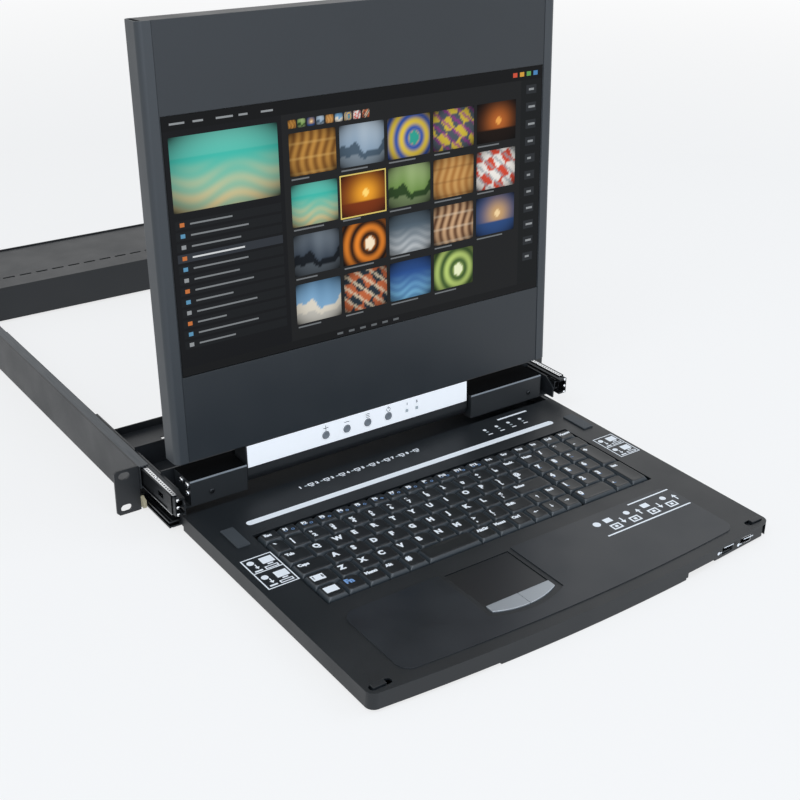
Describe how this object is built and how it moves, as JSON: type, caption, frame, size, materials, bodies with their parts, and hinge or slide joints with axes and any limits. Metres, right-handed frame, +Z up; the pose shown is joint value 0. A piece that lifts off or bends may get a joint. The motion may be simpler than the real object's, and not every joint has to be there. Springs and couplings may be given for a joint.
{
  "type": "rackmount LCD console drawer",
  "caption": "Slim rack console drawer: a keyboard and touchpad tray slides out, a hinged flat display on its own slides stands up behind it.",
  "frame": {"origin": "centre of the bolt pattern in the two front ears, on the front face of the rack rails", "axes": "+X right as seen from the front, +Y into the rack (the way the drawer closes), +Z up"},
  "size_m": [0.4826, 1.055, 0.4226],
  "materials": {
    "black_steel": "satin black powder coat",
    "rail_paint": "satin dark grey paint",
    "zinc_steel": "zinc plated",
    "black_zinc": "black passivated zinc",
    "bright_steel": "bright",
    "deck_plastic": "fine grain black",
    "key_plastic": "matt black",
    "pad_plastic": "smooth dark grey",
    "silver_plastic": "satin silver",
    "menu_film": "pale silver film",
    "button_plastic": "dark grey",
    "light_plastic": "clear light guide",
    "connector_plastic": "black connector moulding",
    "circuit_board": "green solder mask",
    "screen_glass": "clear",
    "panel_module": "plain",
    "nylon": "cream nylon",
    "pad_rubber": "soft black"
  },
  "bodies": {
    "chassis": {"side_plate_left": "black_steel", "side_plate_right": "black_steel", "rear_panel": "black_steel", "electronics_case": "black_steel", "switch_board": "circuit_board", "computer_ports": "connector_plastic", "power_inlet": "connector_plastic", "clamp_screws": "zinc_steel", "slide_front_stops": "nylon", "lcd_slide_outers": "zinc_steel", "tray_slide_outers": "black_zinc"},
    "rear_arms": {"rear_brackets": "black_steel"},
    "outer_cages": {"outer_ball_cages": "bright_steel"},
    "slide_middles": {"lcd_slide_middles": "black_zinc"},
    "inner_cages": {"inner_ball_cages": "bright_steel"},
    "tray_cages": {"tray_ball_cages": "bright_steel"},
    "display_carriage": {"lcd_slide_inners": "black_zinc", "carriage_frame": "black_steel", "hinge_cover_left": "black_steel", "hinge_cover_right": "black_steel", "hinge_brackets": "zinc_steel"},
    "display": {"hinge_arms": "zinc_steel", "lcd_side_rails": "rail_paint", "lcd_front_panel": "black_steel", "lcd_glass": "screen_glass", "lcd_module": "panel_module", "lcd_back_shell": "black_steel", "lcd_controller_board": "circuit_board", "hinge_tongue": "black_steel", "menu_overlay": "menu_film", "menu_lights": "light_plastic", "menu_board": "circuit_board"},
    "menu_button_1": {"menu_button_1": "button_plastic"},
    "menu_button_2": {"menu_button_2": "button_plastic"},
    "menu_button_3": {"menu_button_3": "button_plastic"},
    "menu_button_4": {"menu_button_4": "button_plastic"},
    "keyboard_tray": {"tray_slide_inners": "black_zinc", "tray_pan": "black_steel", "deck_cover": "deck_plastic", "deck_lights": "light_plastic", "pull_grip": "deck_plastic", "usb_port_block": "deck_plastic", "usb_sockets": "bright_steel", "keyboard_base": "deck_plastic", "touchpad": "pad_plastic", "bumper_pads": "pad_rubber", "tray_board": "circuit_board"},
    "pad_button_left": {"touchpad_button_left": "silver_plastic"},
    "pad_button_right": {"touchpad_button_right": "silver_plastic"},
    "latch_left": {"release_latch_left": "deck_plastic"},
    "latch_right": {"release_latch_right": "deck_plastic"},
    "control_row": {"control_keys": "key_plastic"},
    "shift_row": {"shift_row_keys": "key_plastic"},
    "caps_row": {"caps_row_keys": "key_plastic"},
    "tab_row": {"tab_row_keys": "key_plastic"},
    "number_row": {"number_row_keys": "key_plastic"},
    "space_key": {"space_bar": "key_plastic"},
    "function_row": {"function_row_keys": "key_plastic"},
    "number_pad": {"number_pad_keys": "key_plastic"}
  },
  "joints": [
    {"name": "rear_arm_adjust", "type": "slide", "parent": "chassis", "child": "rear_arms", "axis": [0, 1, 0], "range_m": [-0.06, 0.06]},
    {"name": "carriage_slide", "type": "slide", "parent": "chassis", "child": "display_carriage", "axis": [0, 1, 0], "range_m": [0, 0.415]},
    {"name": "middle_slide", "type": "slide", "parent": "chassis", "child": "slide_middles", "axis": [0, 1, 0], "range_m": [0, 0.2075]},
    {"name": "outer_cage_slide", "type": "slide", "parent": "chassis", "child": "outer_cages", "axis": [0, 1, 0], "range_m": [0, 0.10375]},
    {"name": "inner_cage_slide", "type": "slide", "parent": "chassis", "child": "inner_cages", "axis": [0, 1, 0], "range_m": [0, 0.31125]},
    {"name": "tray_slide", "type": "slide", "parent": "chassis", "child": "keyboard_tray", "axis": [0, 1, 0], "range_m": [0, 0.338]},
    {"name": "tray_cage_slide", "type": "slide", "parent": "chassis", "child": "tray_cages", "axis": [0, 1, 0], "range_m": [0, 0.169]},
    {"name": "display_hinge", "type": "hinge", "parent": "display_carriage", "child": "display", "pos_m": [0, -0.038, 0.009], "axis": [1, 0, 0], "range_deg": [-17.4, 92.6]},
    {"name": "menu_press_1", "type": "slide", "parent": "display", "child": "menu_button_1", "axis": [0, 0.999, -0.0454], "range_m": [0, 0.0008], "stiffness_N_per_m": 300, "springref_m": -0.0008},
    {"name": "menu_press_2", "type": "slide", "parent": "display", "child": "menu_button_2", "axis": [0, 0.999, -0.0454], "range_m": [0, 0.0008], "stiffness_N_per_m": 300, "springref_m": -0.0008},
    {"name": "menu_press_3", "type": "slide", "parent": "display", "child": "menu_button_3", "axis": [0, 0.999, -0.0454], "range_m": [0, 0.0008], "stiffness_N_per_m": 300, "springref_m": -0.0008},
    {"name": "menu_press_4", "type": "slide", "parent": "display", "child": "menu_button_4", "axis": [0, 0.999, -0.0454], "range_m": [0, 0.0008], "stiffness_N_per_m": 300, "springref_m": -0.0008},
    {"name": "pad_press_left", "type": "slide", "parent": "keyboard_tray", "child": "pad_button_left", "axis": [0, 0, -1], "range_m": [0, 0.0008], "stiffness_N_per_m": 500, "springref_m": -0.0008},
    {"name": "latch_slide_left", "type": "slide", "parent": "keyboard_tray", "child": "latch_left", "axis": [1, 0, 0], "range_m": [0, 0.004], "stiffness_N_per_m": 300, "springref_m": -0.002},
    {"name": "pad_press_right", "type": "slide", "parent": "keyboard_tray", "child": "pad_button_right", "axis": [0, 0, -1], "range_m": [0, 0.0008], "stiffness_N_per_m": 500, "springref_m": -0.0008},
    {"name": "latch_slide_right", "type": "slide", "parent": "keyboard_tray", "child": "latch_right", "axis": [-1, 0, 0], "range_m": [0, 0.004], "stiffness_N_per_m": 300, "springref_m": -0.002},
    {"name": "control_press", "type": "slide", "parent": "keyboard_tray", "child": "control_row", "axis": [0, 0, -1], "range_m": [0, 0.002], "stiffness_N_per_m": 600, "springref_m": -0.0015},
    {"name": "shift_press", "type": "slide", "parent": "keyboard_tray", "child": "shift_row", "axis": [0, 0, -1], "range_m": [0, 0.002], "stiffness_N_per_m": 600, "springref_m": -0.0015},
    {"name": "caps_press", "type": "slide", "parent": "keyboard_tray", "child": "caps_row", "axis": [0, 0, -1], "range_m": [0, 0.002], "stiffness_N_per_m": 600, "springref_m": -0.0015},
    {"name": "tab_press", "type": "slide", "parent": "keyboard_tray", "child": "tab_row", "axis": [0, 0, -1], "range_m": [0, 0.002], "stiffness_N_per_m": 600, "springref_m": -0.0015},
    {"name": "number_press", "type": "slide", "parent": "keyboard_tray", "child": "number_row", "axis": [0, 0, -1], "range_m": [0, 0.002], "stiffness_N_per_m": 600, "springref_m": -0.0015},
    {"name": "space_press", "type": "slide", "parent": "keyboard_tray", "child": "space_key", "axis": [0, 0, -1], "range_m": [0, 0.002], "stiffness_N_per_m": 600, "springref_m": -0.0015},
    {"name": "function_press", "type": "slide", "parent": "keyboard_tray", "child": "function_row", "axis": [0, 0, -1], "range_m": [0, 0.002], "stiffness_N_per_m": 600, "springref_m": -0.0015},
    {"name": "number_pad_press", "type": "slide", "parent": "keyboard_tray", "child": "number_pad", "axis": [0, 0, -1], "range_m": [0, 0.002], "stiffness_N_per_m": 600, "springref_m": -0.0015}
  ],
  "couplings": [
    {"joint": "middle_slide", "follows": "carriage_slide", "ratio": 0.5},
    {"joint": "outer_cage_slide", "follows": "carriage_slide", "ratio": 0.25},
    {"joint": "inner_cage_slide", "follows": "carriage_slide", "ratio": 0.75},
    {"joint": "tray_cage_slide", "follows": "tray_slide", "ratio": 0.5}
  ]
}
